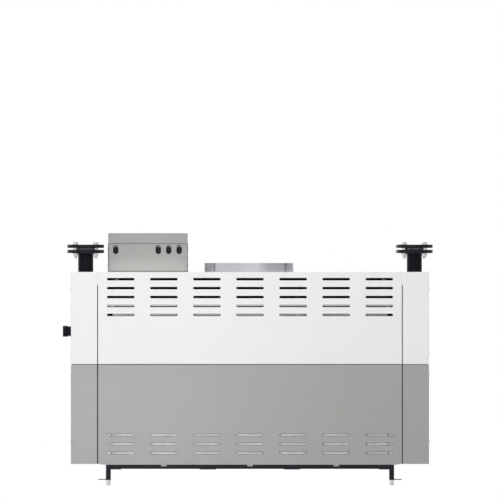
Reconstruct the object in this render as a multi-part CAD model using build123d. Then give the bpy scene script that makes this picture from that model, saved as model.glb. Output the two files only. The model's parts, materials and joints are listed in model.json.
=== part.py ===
from build123d import *
import os

# Millimetres, +Z up. The front faces -Y. The origin lies on the floor under the middle of the casing.

# Casing panels
casing_width = 1800.0
casing_depth = 900.0
casing_top = 1073.0
corner_drop = 0.4
centre_drop = 4.0
sheet = 2.0
corner_return = 132.0
vertical_seam = 4.0
horizontal_seam = 3.0
seam_rise = 8.0
edge_fold = 20.0
fold_clearance = 1.0
bottom_mitre = 31.0
bend_radius = 2.5

# Ventilation slots
slot_length = 138.5
slot_height = 12.6
column_pitch = 216.6
upper_rows = 5
upper_row_pitch = 44.9
upper_row_inset = 36.3
lower_rows = 3
lower_row_pitch = 45.2
lower_row_rise = 58.9

# Hooks that hang from the bottom edge of the lower louvred panels
hook_width = 27.0
hook_drop = 8.0
hook_spread = 2

# Top cover and the channels under its sides
channel_depth = 63.0
channel_overlap = 30.0
pipe_hole_clearance = 2.0
flue_hole_clearance = 2.0

# Base frame
frame_tube = 25.0
frame_wall = 2.0
frame_top = 108.0
leg_inset = 188.0
foot_plate_length = 64.0
foot_plate_depth = 50.0
foot_plate_thickness = 4.0
foot_plate_bottom = 28.0
anchor_hole_radius = 5.5
anchor_hole_inset = 18.0
middle_strap_centre = 211.5
middle_strap_width = 81.0
end_strap_width = 51.0
strap_thickness = 3.0

# Posts that stand behind the vertical seams
post_tube = 25.0
post_wall = 2.0
post_fold_gap = 3.0
post_rim_gap = 1.0

# Sealing strip between the upper and the lower panels
seal_inset = 3.0
seal_depth = 15.0

# Levelling bolts
bolt_radius = 8.0
bolt_across_flats = 24.0
bolt_head_height = 10.0
bolt_top = 60.0
lock_nut_height = 13.0
bolt_clearance = 0.3
bolt_chamfer = 1.2

# Tray and inner housings
tray_thickness = 2.0
chamber_end_space = 206.0
chamber_air_gap = 10.0
chamber_height = 490.0
chamber_end_plate = 5.0
chamber_plate_gap = 2.0
exchanger_end_space = 210.0
exchanger_air_gap = 23.0
exchanger_height = 301.5
rim_end_gap = 8.0
rim_air_gap = 5.0
rim_thickness = 13.5
rim_opening_margin = 40.0

# Uprights in front of the chamber's end plates
upright_width = 61.0
upright_depth = 40.0
upright_air_gap = 8.0

# Smoke hood and flue socket
hood_end_space = 30.0
hood_side_space = 118.0
hood_cover_space = 25.0
hood_sheet = 3.0
flue_outer_radius = 230.0
flue_wall = 2.0
flue_stop = 2.0
flue_rise = 45.0

# Water headers and stubs
stub_inset = 59.0
pipe_outer_radius = 38.05
pipe_wall = 2.9
pipe_setback = 6.0
header_wall_gap = 13.0
header_half_depth = 60.0
header_lower_inset = 40.0
flange_radius = 92.5
flange_plate = 17.0
flange_chamfer = 1.5
flange_bore_radius = 38.75
raised_face_radius = 61.0
raised_face = 3.0
gasket_radius = 63.5
gasket_bore_radius = 37.5
gasket_thickness = 3.0
flange_rise = 94.5
flange_bolt_circle = 145.0
flange_bolts = 4
flange_bolt_hole_radius = 9.0

# Control box
box_flange_gap = 21.0
box_flue_gap = 83.5
box_front_inset = 510.0
box_depth = 300.0
box_height = 195.3
box_sheet = 2.0
box_lid_height = 51.0
box_lid_gap = 3.0
box_gap_groove = 5.0
box_cover_bottom_gap = 3.0
box_cover_side_gap = 2.0
box_edge_radius = 1.8

# Cable glands in the cover
gland_single_inset = 39.5
gland_group_inset = 44.5
gland_group_count = 3
gland_pitch = 52.5
gland_slot_width = 27.0
gland_slot_height = 46.0
gland_slot_top_inset = 4.8
gland_height = 36.0
gland_clearance = 0.3
gland_proud = 1.5
gland_recess = 8.0

# Gas inlet
gas_front_inset = 230.0
gas_rise = 175.0
gas_pipe_radius = 24.15
gas_pipe_wall = 3.2
gas_neck = 15.0
gas_collar_radius = 26.25
gas_collar_thickness = 3.0
gas_coupling_radius = 27.75
gas_coupling_length = 25.7
gas_coupling_chamfer = 1.2
gas_thread_radius = 22.4
gas_hole_clearance = 0.8

# Places that follow from the sizes above
half_width = casing_width / 2
half_depth = casing_depth / 2
inner_x = half_width - sheet
inner_y = half_depth - sheet
return_start = half_width - corner_return
centre_half = return_start - vertical_seam
slot_columns = int(2 * centre_half // column_pitch)
corner_bottom = frame_top - corner_drop
centre_bottom = frame_top - centre_drop
upper_row_top = casing_top - upper_row_inset
lower_row_top = centre_bottom + lower_row_rise + (lower_rows - 1) * lower_row_pitch
chamber_top = frame_top + tray_thickness + chamber_height
seam_middle = chamber_top + seam_rise
lower_panel_top = seam_middle - horizontal_seam / 2
upper_panel_bottom = seam_middle + horizontal_seam / 2
tray_top = frame_top + tray_thickness
cover_underside = casing_top - sheet
channel_bottom = cover_underside - channel_depth
channel_start = centre_half - channel_overlap
fold_top = channel_bottom - fold_clearance
rail_bottom = frame_top - frame_tube
foot_plate_top = foot_plate_bottom + foot_plate_thickness
leg_centre_x = half_width - leg_inset
leg_inner_x = leg_centre_x - frame_tube / 2
leg_outer_x = leg_centre_x + frame_tube / 2
leg_centre_y = inner_y - frame_tube / 2
rail_inner_y = inner_y - frame_tube
anchor_x = leg_inner_x + foot_plate_length - anchor_hole_inset
anchor_y = inner_y - foot_plate_depth / 2
chamber_half_width = half_width - chamber_end_space
rim_half_width = return_start - rim_end_gap
upright_start = chamber_half_width + chamber_end_plate
post_start = rim_half_width + post_rim_gap
post_front_y = inner_y - edge_fold - post_fold_gap
exchanger_half_width = half_width - exchanger_end_space
exchanger_top = chamber_top + exchanger_height
rim_top = exchanger_top + rim_thickness
hood_half_width = rim_half_width - hood_end_space
hood_half_depth = inner_y - hood_side_space
hood_top = casing_top - hood_cover_space
flue_top = casing_top + flue_rise
header_outer_x = inner_x - header_wall_gap
header_bottom = chamber_top + header_lower_inset
stub_x = header_outer_x - stub_inset
flange_bottom = casing_top + flange_rise
mating_face = flange_bottom + flange_plate + raised_face
gasket_top = mating_face + gasket_thickness
box_lid_left = -stub_x + flange_radius + box_flange_gap
box_lid_right = -flue_outer_radius - box_flue_gap
box_left = box_lid_left - box_sheet
box_right = box_lid_right + box_sheet
box_cover_left = box_lid_left + box_cover_side_gap
box_cover_right = box_lid_right - box_cover_side_gap
box_front_y = -half_depth + box_front_inset
box_back_y = box_front_y + box_depth
box_body_front = box_front_y + box_sheet
box_top = casing_top + box_height
box_lid_bottom = box_top - box_lid_height
box_cover_bottom = casing_top + box_cover_bottom_gap
box_cover_top = box_lid_bottom - box_lid_gap
gland_slot_top = box_cover_top - gland_slot_top_inset
gland_slot_bottom = gland_slot_top - gland_slot_height
gas_y = -half_depth + gas_front_inset
gas_z = chamber_top + gas_rise
gas_neck_end = -half_width - gas_neck


def block(x0, x1, y0, y1, z0, z1):
    """A box between two corners."""
    centre = Pos((x0 + x1) / 2, (y0 + y1) / 2, (z0 + z1) / 2)
    return centre * Box(abs(x1 - x0), abs(y1 - y0), abs(z1 - z0))


def disc(x, y, z0, z1, radius):
    """An upright cylinder between two heights."""
    return Pos(x, y, (z0 + z1) / 2) * Cylinder(radius, z1 - z0)


def along_x(x0, x1, y, z, radius):
    """A cylinder lying along X."""
    return Pos((x0 + x1) / 2, y, z) * Rot(0, 90, 0) * Cylinder(radius, abs(x1 - x0))


def chamfered_disc(x, y, z0, z1, radius, size):
    """An upright cylinder with both rims chamfered."""
    body = disc(x, y, z0, z1, radius)
    return chamfer(body.edges().filter_by(GeomType.CIRCLE), size)


def hex_prism(x, y, z0, z1, across_flats):
    """An upright hexagonal prism with its corners turned down at both ends."""
    corner_radius = across_flats / 3 ** 0.5
    prism = Pos(x, y, z0) * extrude(RegularPolygon(corner_radius, 6), amount=z1 - z0)
    return prism & chamfered_disc(x, y, z0, z1, corner_radius, bolt_chamfer)


def rounded_corners(shape, radius):
    """The shape with its vertical edges rounded."""
    return fillet(shape.edges().filter_by(Axis.Z), radius)


def turned_back(shape):
    """The same piece on the rear of the casing."""
    return mirror(shape, about=Plane.XZ)


def on_right(shape):
    """The same piece on the right of the casing."""
    return mirror(shape, about=Plane.YZ)


def four_of(front_left):
    """The same piece at all four corners."""
    front = [front_left, on_right(front_left)]
    return Compound(children=front + [turned_back(piece) for piece in front])


# Base frame
def cross_rail():
    outer = block(-leg_inner_x, leg_inner_x, -inner_y, -rail_inner_y, rail_bottom, frame_top)
    hollow = block(
        -leg_inner_x, leg_inner_x,
        -inner_y + frame_wall, -rail_inner_y - frame_wall,
        rail_bottom + frame_wall, frame_top - frame_wall,
    )
    return outer - hollow


def side_rail():
    outer = block(-leg_outer_x, -leg_inner_x, -rail_inner_y, rail_inner_y, rail_bottom, frame_top)
    hollow = block(
        -leg_outer_x + frame_wall, -leg_inner_x - frame_wall,
        -rail_inner_y, rail_inner_y,
        rail_bottom + frame_wall, frame_top - frame_wall,
    )
    return outer - hollow


def leg():
    """Square leg with its welded foot plate, at the front left."""
    post = block(-leg_outer_x, -leg_inner_x, -inner_y, -rail_inner_y, foot_plate_top, frame_top)
    hollow = block(
        -leg_outer_x + frame_wall, -leg_inner_x - frame_wall,
        -inner_y + frame_wall, -rail_inner_y - frame_wall,
        foot_plate_top, frame_top,
    )
    plate = block(
        -leg_inner_x - foot_plate_length, -leg_inner_x,
        -inner_y, -inner_y + foot_plate_depth,
        foot_plate_bottom, foot_plate_top,
    )
    bolt_hole = disc(
        -leg_centre_x, -leg_centre_y, foot_plate_bottom, foot_plate_top, bolt_radius + bolt_clearance
    )
    anchor_hole = disc(-anchor_x, -anchor_y, foot_plate_bottom, foot_plate_top, anchor_hole_radius)
    return post - hollow + plate - bolt_hole - anchor_hole


def levelling_bolts():
    """Hexagon bolts standing on their heads, each with a lock nut under its foot plate."""
    head = hex_prism(-leg_centre_x, -leg_centre_y, 0, bolt_head_height, bolt_across_flats)
    shank = disc(-leg_centre_x, -leg_centre_y, bolt_head_height, bolt_top, bolt_radius)
    nut_bottom = foot_plate_bottom - lock_nut_height
    nut = hex_prism(-leg_centre_x, -leg_centre_y, nut_bottom, foot_plate_bottom, bolt_across_flats)
    thread = disc(
        -leg_centre_x, -leg_centre_y, nut_bottom, foot_plate_bottom, bolt_radius + bolt_clearance
    )
    solids = [head + shank, nut - thread]
    solids += [on_right(solid) for solid in solids]
    solids += [turned_back(solid) for solid in solids]
    return Compound(children=solids)


def straps():
    """Flat bars from front to rear under the rails."""
    strap_bottom = rail_bottom - strap_thickness
    bars = []
    for side in (-1, 1):
        middle_inner = side * (middle_strap_centre - middle_strap_width / 2)
        middle_outer = side * (middle_strap_centre + middle_strap_width / 2)
        end_inner = side * (leg_inner_x - end_strap_width)
        end_outer = side * leg_inner_x
        bars.append(block(middle_inner, middle_outer, -inner_y, inner_y, strap_bottom, rail_bottom))
        bars.append(block(end_inner, end_outer, -inner_y, inner_y, strap_bottom, rail_bottom))
    return Compound(children=bars)


def base_tray():
    return rounded_corners(
        block(-inner_x, inner_x, -inner_y, inner_y, frame_top, tray_top), bend_radius - sheet
    )


def casing_posts():
    """Square tubes from the tray to the cover, one behind each vertical seam."""
    rear_y = post_front_y - post_tube
    outer = block(
        -post_start - post_tube, -post_start, -post_front_y, -rear_y, tray_top, cover_underside
    )
    hollow = block(
        -post_start - post_tube + post_wall, -post_start - post_wall,
        -post_front_y + post_wall, -rear_y - post_wall,
        tray_top, cover_underside,
    )
    return four_of(outer - hollow)


def panel_seal():
    """Soft strip that lies between the shelves of the upper and the lower panels, all round."""
    outer_x = inner_x - seal_inset
    outer_y = inner_y - seal_inset
    outer = block(-outer_x, outer_x, -outer_y, outer_y, lower_panel_top, upper_panel_bottom)
    inner_x_end = outer_x - seal_depth
    inner_y_end = outer_y - seal_depth
    return outer - block(
        -inner_x_end, inner_x_end, -inner_y_end, inner_y_end, lower_panel_top, upper_panel_bottom
    )


# Casing
def slot_cutters(top_row, pitch, rows):
    """Obround cutters for one louvred panel."""
    cutter = Rot(90, 0, 0) * extrude(SlotOverall(slot_length, slot_height), amount=sheet * 2, both=True)
    first_column = -(slot_columns - 1) / 2 * column_pitch
    return [
        Pos(first_column + column * column_pitch, -half_depth, top_row - row * pitch) * cutter
        for row in range(rows)
        for column in range(slot_columns)
    ]


def bent_edges(panel, seam_z):
    """A louvred panel with its folds rounded at the two sides and at the horizontal seam."""
    reach = sheet / 4
    face_edges = panel.edges().filter_by_position(Axis.Y, -half_depth - reach, -half_depth + reach)
    sides = [
        edge for edge in face_edges.filter_by(Axis.Z)
        if abs(abs(edge.center().X) - centre_half) < bend_radius
    ]
    seam = [
        edge for edge in face_edges.filter_by(Axis.X)
        if abs(edge.center().Z - seam_z) < bend_radius
    ]
    return fillet(sides + seam, bend_radius)


def side_folds(z0, z1):
    """Edges of a louvred panel that turn back into the casing."""
    folds = []
    for side in (-1, 1):
        outer = side * centre_half
        inner = side * (centre_half - sheet)
        folds.append(block(inner, outer, -inner_y, -inner_y + edge_fold, z0, z1))
    return folds


def upper_louvred_panel():
    face = block(-centre_half, centre_half, -half_depth, -inner_y, upper_panel_bottom, casing_top)
    shelf = block(
        -centre_half, centre_half, -inner_y, -inner_y + edge_fold,
        upper_panel_bottom, upper_panel_bottom + sheet,
    )
    panel = face + shelf
    for fold in side_folds(upper_panel_bottom, fold_top):
        panel += fold
    return bent_edges(panel, upper_panel_bottom) - slot_cutters(upper_row_top, upper_row_pitch, upper_rows)


def lower_louvred_panel():
    mitre_start = centre_half - bottom_mitre
    outline = Polygon(
        (-centre_half, lower_panel_top),
        (-centre_half, corner_bottom),
        (-mitre_start, centre_bottom),
        (mitre_start, centre_bottom),
        (centre_half, corner_bottom),
        (centre_half, lower_panel_top),
        align=None,
    )
    face = Pos(0, -inner_y, 0) * Rot(90, 0, 0) * extrude(outline, amount=sheet)
    shelf = block(
        -centre_half, centre_half, -inner_y, -inner_y + edge_fold,
        lower_panel_top - sheet, lower_panel_top,
    )
    panel = face + shelf
    for fold in side_folds(tray_top, lower_panel_top):
        panel += fold
    panel = bent_edges(panel, lower_panel_top)
    for step in (-hook_spread, 0, hook_spread):
        x = step * column_pitch
        panel += block(
            x - hook_width / 2, x + hook_width / 2, -half_depth, -inner_y,
            centre_bottom - hook_drop, centre_bottom,
        )
    return panel - slot_cutters(lower_row_top, lower_row_pitch, lower_rows)


def wrap(depth, z0, z1):
    """The left casing wall with its front and rear returns, to a given depth."""
    outer = block(-half_width, -return_start, -half_depth, half_depth, z0, z1)
    outer = fillet(outer.edges().filter_by(Axis.Z).group_by(Axis.X)[0], bend_radius)
    inside = block(
        -half_width + depth, -return_start, -half_depth + depth, half_depth - depth, z0, z1
    )
    inside = fillet(inside.edges().filter_by(Axis.Z).group_by(Axis.X)[0], bend_radius - sheet)
    return outer - inside


def side_panel(z0, z1, shelf_bottom, lip_bottom, lip_top):
    """Left panel, bent round both corners, with a shelf at the seam and a lip on each return."""
    panel = wrap(sheet, z0, z1) + wrap(sheet + edge_fold, shelf_bottom, shelf_bottom + sheet)
    for side in (-1, 1):
        panel += block(
            -return_start - sheet, -return_start,
            side * inner_y, side * (inner_y - edge_fold),
            lip_bottom, lip_top,
        )
    return_edges = [
        edge for edge in panel.edges().filter_by(Axis.Z)
        if abs(edge.center().X + return_start) < sheet / 2
        and abs(abs(edge.center().Y) - half_depth) < sheet / 2
    ]
    return fillet(return_edges, bend_radius)


def upper_side_panel():
    return side_panel(upper_panel_bottom, casing_top, upper_panel_bottom, upper_panel_bottom, fold_top)


def lower_side_panel():
    return side_panel(
        corner_bottom, lower_panel_top, lower_panel_top - sheet, tray_top, lower_panel_top
    )


def gas_hole():
    return along_x(-half_width - sheet, -inner_x + sheet, gas_y, gas_z, gas_pipe_radius + gas_hole_clearance)


def top_cover():
    """Flat lid that lies inside the panels."""
    cover = rounded_corners(
        block(-inner_x, inner_x, -inner_y, inner_y, cover_underside, casing_top), bend_radius - sheet
    )
    for side in (-1, 1):
        cover -= disc(
            side * stub_x, 0, cover_underside, casing_top, pipe_outer_radius + pipe_hole_clearance
        )
    return cover - disc(0, 0, cover_underside, casing_top, flue_outer_radius + flue_hole_clearance)


def top_channels():
    """Folded channels under the sides of the cover, with a return behind each vertical seam."""
    channel = block(-inner_x, -inner_x + sheet, -inner_y, inner_y, channel_bottom, cover_underside)
    for face in (-1, 1):
        channel += block(
            -inner_x, -channel_start, face * (inner_y - sheet), face * inner_y,
            channel_bottom, cover_underside,
        )
    outer_edges = channel.edges().filter_by(Axis.Z).group_by(Axis.X)[0]
    channel = fillet(outer_edges, bend_radius - sheet)
    return Compound(children=[channel, on_right(channel)])


# Inner housings
def combustion_chamber():
    """Burner box between two end plates, which stop short of the uprights' webs."""
    front = inner_y - chamber_air_gap
    plate_front = inner_y - upright_air_gap - upright_depth - chamber_plate_gap
    box = block(-chamber_half_width, chamber_half_width, -front, front, tray_top, chamber_top)
    return box + block(-upright_start, upright_start, -plate_front, plate_front, tray_top, chamber_top)


def exchanger_casing():
    front = inner_y - exchanger_air_gap
    return block(-exchanger_half_width, exchanger_half_width, -front, front, chamber_top, exchanger_top)


def exchanger_rim():
    """Flanged rim on the exchanger casing that carries the smoke hood."""
    front = inner_y - rim_air_gap
    rim = block(-rim_half_width, rim_half_width, -front, front, exchanger_top, rim_top)
    opening_x = hood_half_width - rim_opening_margin
    opening_y = hood_half_depth - rim_opening_margin
    return rim - block(-opening_x, opening_x, -opening_y, opening_y, exchanger_top, rim_top)


def chamber_uprights():
    """Folded angles beside the ends of the chamber, at its front and rear."""
    front = inner_y - upright_air_gap
    outer_x = upright_start + upright_width
    face = block(-outer_x, -upright_start, -front, -front + sheet, tray_top, chamber_top)
    web = block(
        -upright_start - sheet, -upright_start, -front, -front + upright_depth, tray_top, chamber_top
    )
    return four_of(face + web)


def smoke_hood():
    outer = block(-hood_half_width, hood_half_width, -hood_half_depth, hood_half_depth, rim_top, hood_top)
    inside = block(
        -hood_half_width + hood_sheet, hood_half_width - hood_sheet,
        -hood_half_depth + hood_sheet, hood_half_depth - hood_sheet,
        rim_top, hood_top - hood_sheet,
    )
    mouth = disc(0, 0, hood_top - hood_sheet, hood_top, flue_outer_radius - flue_wall - flue_stop)
    return outer - inside - mouth


def flue_socket():
    tube = disc(0, 0, hood_top, flue_top, flue_outer_radius)
    return tube - disc(0, 0, hood_top, flue_top, flue_outer_radius - flue_wall)


# Water side
def water_header():
    """Closed water box on the end of the exchanger casing, at the left."""
    return block(
        -header_outer_x, -exchanger_half_width, -header_half_depth, header_half_depth,
        header_bottom, exchanger_top,
    )


def water_stub():
    top = mating_face - pipe_setback
    tube = disc(-stub_x, 0, exchanger_top, top, pipe_outer_radius)
    return tube - disc(-stub_x, 0, exchanger_top, top, pipe_outer_radius - pipe_wall)


def bolt_holes(z0, z1):
    ring = PolarLocations(flange_bolt_circle / 2, flange_bolts, start_angle=180 / flange_bolts)
    hole = disc(0, 0, z0, z1, flange_bolt_hole_radius)
    return [Pos(-stub_x, 0, 0) * place * hole for place in ring]


def stub_flange():
    """Flange on the stub, with its raised face upward."""
    plate_top = flange_bottom + flange_plate
    body = chamfered_disc(-stub_x, 0, flange_bottom, plate_top, flange_radius, flange_chamfer)
    body += disc(-stub_x, 0, plate_top, mating_face, raised_face_radius)
    body -= disc(-stub_x, 0, flange_bottom, mating_face, flange_bore_radius)
    return body - bolt_holes(flange_bottom, plate_top)


def counter_flange():
    """Loose flange bolted on top, with its raised face downward."""
    plate_bottom = gasket_top + raised_face
    plate_top = plate_bottom + flange_plate
    body = chamfered_disc(-stub_x, 0, plate_bottom, plate_top, flange_radius, flange_chamfer)
    body += disc(-stub_x, 0, gasket_top, plate_bottom, raised_face_radius)
    body -= disc(-stub_x, 0, gasket_top, plate_top, flange_bore_radius)
    return body - bolt_holes(plate_bottom, plate_top)


def gasket():
    ring = disc(-stub_x, 0, mating_face, gasket_top, gasket_radius)
    return ring - disc(-stub_x, 0, mating_face, gasket_top, gasket_bore_radius)


# Control box
def gland_places():
    last = box_right - gland_group_inset
    group = [last - step * gland_pitch for step in range(gland_group_count)]
    return [box_left + gland_single_inset] + group


def upright_slot(x, z_bottom, z_top, width, y0, y1):
    """An obround prism standing on its end, between two depths."""
    outline = SlotOverall(z_top - z_bottom, width, rotation=90)
    prism = Rot(90, 0, 0) * extrude(outline, amount=y1 - y0)
    return Pos(x, y1, (z_bottom + z_top) / 2) * prism


def gland_slots():
    """Cutters through the cover and into the front wall of the body."""
    return [
        upright_slot(x, gland_slot_bottom, gland_slot_top, gland_slot_width,
                     box_front_y, box_body_front + gland_recess)
        for x in gland_places()
    ]


def control_box_body():
    """Closed housing whose side walls frame the cover, with a shoulder that the lid stands on."""
    body = block(box_left, box_right, box_front_y, box_back_y, casing_top, box_lid_bottom)
    body = fillet(body.edges().filter_by(Axis.Z).group_by(Axis.Y)[-1], box_edge_radius)
    body += block(
        box_lid_left + box_sheet, box_lid_right - box_sheet, box_body_front, box_back_y - box_sheet,
        box_lid_bottom, box_top - box_sheet,
    )
    opening = block(
        box_lid_left, box_lid_right, box_front_y, box_body_front + box_gap_groove, casing_top, box_lid_bottom
    )
    cover_bed = block(
        box_cover_left, box_cover_right, box_body_front, box_body_front + box_gap_groove,
        box_cover_bottom, box_cover_top,
    )
    return body - opening + cover_bed - gland_slots()


def control_box_lid():
    """Cap of folded sheet over the top of the housing."""
    cap = block(box_lid_left, box_lid_right, box_front_y, box_back_y, box_lid_bottom, box_top)
    edges = cap.edges().filter_by(Axis.Z) + cap.faces().sort_by(Axis.Z)[-1].edges()
    inside = block(
        box_lid_left + box_sheet, box_lid_right - box_sheet,
        box_front_y + box_sheet, box_back_y - box_sheet,
        box_lid_bottom, box_top - box_sheet,
    )
    return fillet(edges, box_edge_radius) - inside


def control_box_cover():
    """Flat cover that lies in the front of the housing with a gap all round."""
    plate = block(
        box_cover_left, box_cover_right, box_front_y, box_body_front, box_cover_bottom, box_cover_top
    )
    front_edges = plate.edges().filter_by(Axis.Z).group_by(Axis.Y)[0]
    return fillet(front_edges, box_edge_radius) - gland_slots()


def cable_gland(x):
    """Rubber bush seated in the lower part of its slot."""
    bottom = gland_slot_bottom + gland_clearance
    top = gland_slot_bottom + gland_height
    width = gland_slot_width - 2 * gland_clearance
    return upright_slot(x, bottom, top, width, box_front_y - gland_proud, box_body_front + gland_recess)


def cable_glands():
    return Compound(children=[cable_gland(x) for x in gland_places()])


# Gas inlet
def gas_pipe():
    tube = along_x(gas_neck_end, -exchanger_half_width, gas_y, gas_z, gas_pipe_radius)
    collar = along_x(-half_width - gas_collar_thickness, -half_width, gas_y, gas_z, gas_collar_radius)
    bore = along_x(gas_neck_end, -exchanger_half_width, gas_y, gas_z, gas_pipe_radius - gas_pipe_wall)
    return tube + collar - bore


def gas_coupling():
    outer_end = gas_neck_end - gas_coupling_length
    sleeve = along_x(outer_end, gas_neck_end, gas_y, gas_z, gas_coupling_radius)
    sleeve = chamfer(sleeve.edges().filter_by(GeomType.CIRCLE), gas_coupling_chamfer)
    return sleeve - along_x(outer_end, gas_neck_end, gas_y, gas_z, gas_thread_radius)


# The assembly
front_rail = cross_rail()
left_rail = side_rail()
front_left_leg = leg()
front_upper_panel = upper_louvred_panel()
front_lower_panel = lower_louvred_panel()
plain_upper_side = upper_side_panel()
left_lower_panel = lower_side_panel()
left_header = water_header()
left_stub = water_stub()
left_flange = stub_flange()
left_counter_flange = counter_flange()
left_gasket = gasket()

nodes = {
    "front_rail": front_rail,
    "rear_rail": turned_back(front_rail),
    "left_rail": left_rail,
    "right_rail": on_right(left_rail),
    "frame_straps": straps(),
    "front_left_leg": front_left_leg,
    "front_right_leg": on_right(front_left_leg),
    "rear_left_leg": turned_back(front_left_leg),
    "rear_right_leg": turned_back(on_right(front_left_leg)),
    "levelling_bolts": levelling_bolts(),
    "base_tray": base_tray(),
    "casing_posts": casing_posts(),
    "panel_seal": panel_seal(),
    "front_upper_panel": front_upper_panel,
    "front_lower_panel": front_lower_panel,
    "rear_upper_panel": turned_back(front_upper_panel),
    "rear_lower_panel": turned_back(front_lower_panel),
    "left_upper_panel": plain_upper_side - gas_hole(),
    "left_lower_panel": left_lower_panel,
    "right_upper_panel": on_right(plain_upper_side),
    "right_lower_panel": on_right(left_lower_panel),
    "top_cover": top_cover(),
    "top_channels": top_channels(),
    "combustion_chamber": combustion_chamber(),
    "chamber_uprights": chamber_uprights(),
    "exchanger_casing": exchanger_casing(),
    "exchanger_rim": exchanger_rim(),
    "smoke_hood": smoke_hood(),
    "flue_socket": flue_socket(),
    "control_box_body": control_box_body(),
    "control_box_lid": control_box_lid(),
    "control_box_cover": control_box_cover(),
    "cable_glands": cable_glands(),
    "gas_pipe": gas_pipe(),
    "gas_coupling": gas_coupling(),
}

for piece, shape in (
    ("water_header", left_header),
    ("water_stub", left_stub),
    ("stub_flange", left_flange),
    ("flange_gasket", left_gasket),
    ("counter_flange", left_counter_flange),
):
    nodes[f"left_{piece}"] = shape
    nodes[f"right_{piece}"] = on_right(shape)

os.makedirs("parts", exist_ok=True)
for name, shape in nodes.items():
    export_step(shape, f"parts/{name}.step")
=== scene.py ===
import json
import math

import bmesh
import bpy
from mathutils import Matrix, Vector


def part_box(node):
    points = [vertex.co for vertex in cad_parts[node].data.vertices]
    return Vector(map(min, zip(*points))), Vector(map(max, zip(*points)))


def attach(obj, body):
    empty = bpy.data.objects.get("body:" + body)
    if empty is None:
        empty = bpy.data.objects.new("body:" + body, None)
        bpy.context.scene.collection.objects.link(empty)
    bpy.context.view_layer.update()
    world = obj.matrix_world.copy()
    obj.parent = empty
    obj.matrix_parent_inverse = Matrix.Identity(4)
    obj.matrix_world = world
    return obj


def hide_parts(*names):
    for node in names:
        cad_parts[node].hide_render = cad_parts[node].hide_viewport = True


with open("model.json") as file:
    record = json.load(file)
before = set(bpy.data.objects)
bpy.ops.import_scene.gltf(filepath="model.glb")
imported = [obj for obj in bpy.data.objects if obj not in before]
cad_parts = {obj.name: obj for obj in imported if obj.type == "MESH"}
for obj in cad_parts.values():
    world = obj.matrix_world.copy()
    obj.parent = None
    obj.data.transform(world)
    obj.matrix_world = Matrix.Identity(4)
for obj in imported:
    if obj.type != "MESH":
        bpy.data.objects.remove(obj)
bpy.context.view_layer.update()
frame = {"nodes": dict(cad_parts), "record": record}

# Metres, +Z up. The front faces -Y and +X is to the viewer's right.

# Camera
photo_size = 500
metres_per_pixel = 0.005027
floor_row = 485.4
camera_distance = 6.0

# Studio
floor_radius = 14.0
floor_clear_radius = 1.9
floor_white_radius = 5.0
floor_colour = 0.90
floor_bounce_colour = 0.42
background_white = 1.0
ambient_level = 0.45

# What gloss sees round the object, as degrees from the viewer and brightness
surroundings = (
    (-180, 0.90), (-130, 0.85), (-60, 0.85), (0, 0.98), (15, 1.04), (32, 0.78), (53, 0.54),
    (82, 0.49), (125, 0.46), (180, 0.60),
)

# White screen behind, seen in gloss alone
screen_distance = 1.07
screen_width = 2.38
screen_height = 1.9
screen_level = 1.45

# Light that the white cover throws on the control box
bounce_lamp_height = 0.002
bounce_lamp_depth = 0.08
bounce_lamp_gap = 0.010
bounce_lamp_watts = 0.145

# Mesh quality
circle_points = 48
small_circle_points = 24
thread_steps = 4
dome_steps = 6
ring_weld_points = 144
bead_steps = 4
ripple_steps = 4
smooth_limit = math.radians(28)

# Directions
upward = (0, 0, 1)
downward = (0, 0, -1)

# Base frame
foot_plate_thickness = 0.004

# Corners of bolt heads and nuts, turned down by a cone
hex_flat_share = 0.95
hex_corner_slope = math.tan(math.radians(30))

# Flange bolts, M16
bolt_radius = 0.008
bolt_clearance = 0.0004
bolt_overlap = 0.001
bolt_across = 0.024
bolt_head_height = 0.010
nut_height = 0.013
washer_radius = 0.015
washer_thickness = 0.003
bolt_tail = 0.0105
thread_pitch = 0.002
thread_depth = 0.0012
flange_bolt_circle = 0.145
flange_bolts = 4

# Welds
flange_weld = 0.006
frame_weld = 0.003
weld_bulge = 0.16
ring_ripple = 0.07
straight_ripple = 0.08
ripple_length = 0.0035
weld_overlap = 0.0002

# Screws and rivets
side_screw_heights = (0.988, 0.659, 0.551, 0.224)
side_screw_inset = 0.060
side_screw_radius = 0.0065
side_screw_height = 0.0036
cover_screw_radius = 0.0055
cover_screw_inset = 0.018
cover_screw_shares = (-0.96, -0.48, 0.0, 0.48, 0.96)
box_screw_radius = 0.0045
box_screw_height = 0.0024
box_screw_inset = 0.045
box_screw_rise = 0.035
box_screw_drop = 0.028
box_rivet_radius = 0.0033
box_rivet_height = 0.0014
box_rivet_places = ((0.0937, 0.0797), (0.032, 0.0043))

# Black rings of painted shade inside the slots
slot_length = 0.1385
slot_height = 0.0126
slot_size_limit = 0.001
slot_shade_width = 0.0015
slot_shade_recess = 0.0002
slot_shade_gap = 0.00005

# Stays of the cover, and clips, nuts and strips of painted shade under the exchanger rim, behind the slots
stay_centre = 0.671
stay_width = 0.030
stay_thickness = 0.003
stay_foot = 0.028
stay_inset = 0.019
stay_bolt_across = 0.017
stay_bolt_height = 0.0064
stay_bolt_drop = 0.042
stay_washer_hole = 0.0042
stay_washer_radius = 0.0100
stay_washer_thickness = 0.0016
clip_inner = 0.6836
clip_outer = 0.6987
clip_drop = 0.0035
clip_insets = (0.004, 0.0025)
clip_edge = 0.0003
clip_nut_centre = 0.6785
clip_nut_inset = 0.008
clip_nut_across = 0.010
clip_nut_height = 0.005
rim_shade_end = 0.6735
rim_shade_drop = 0.0065
rim_shade_thickness = 0.0012
rim_shade_edge = 0.0002

# Cable glands, as insets from the outline and depths behind the front
gland_lip = ((0.0, 0.0016), (0.0005, 0.0005), (0.0014, 0.0), (0.0024, 0.0002), (0.0036, 0.0014))
gland_groove = ((0.0042, 0.0060), (0.0056, 0.0062))
gland_pad = ((0.0059, 0.0036), (0.0070, 0.0026), (0.0098, 0.0022))

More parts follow.
